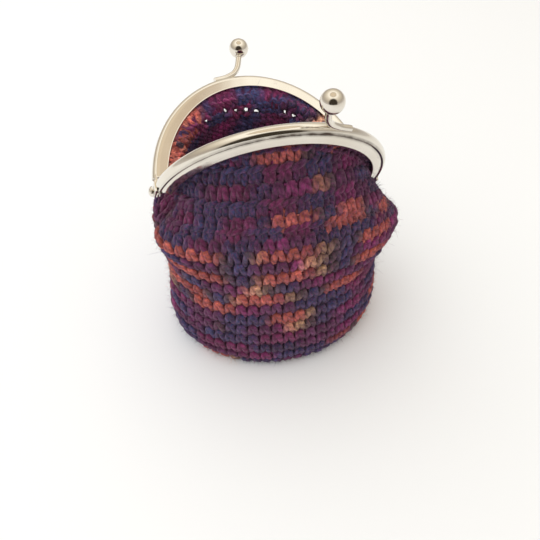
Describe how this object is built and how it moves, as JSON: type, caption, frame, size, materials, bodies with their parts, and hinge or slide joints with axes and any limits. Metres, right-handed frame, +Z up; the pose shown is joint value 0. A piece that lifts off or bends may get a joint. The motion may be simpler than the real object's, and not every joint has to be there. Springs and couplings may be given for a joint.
{
  "type": "crochet coin purse",
  "caption": "Crochet coin purse of variegated yarn with a round-cornered flat base, standing open in a hinged nickel snap frame with ball knobs.",
  "frame": {"origin": "centre of the flat underside, on the surface the purse stands on", "axes": "+Z up, front of the purse towards -Y, +X to the right seen from the front"},
  "size_m": [0.0929, 0.0896, 0.1116],
  "materials": {
    "yarn": "variegated wool yarn, worked in single crochet",
    "nickel": "polished nickel plate"
  },
  "bodies": {
    "root": {"crochet_bag": "yarn", "front_frame": "nickel", "rear_frame": "nickel", "left_rivet": "nickel", "right_rivet": "nickel"}
  },
  "joints": []
}
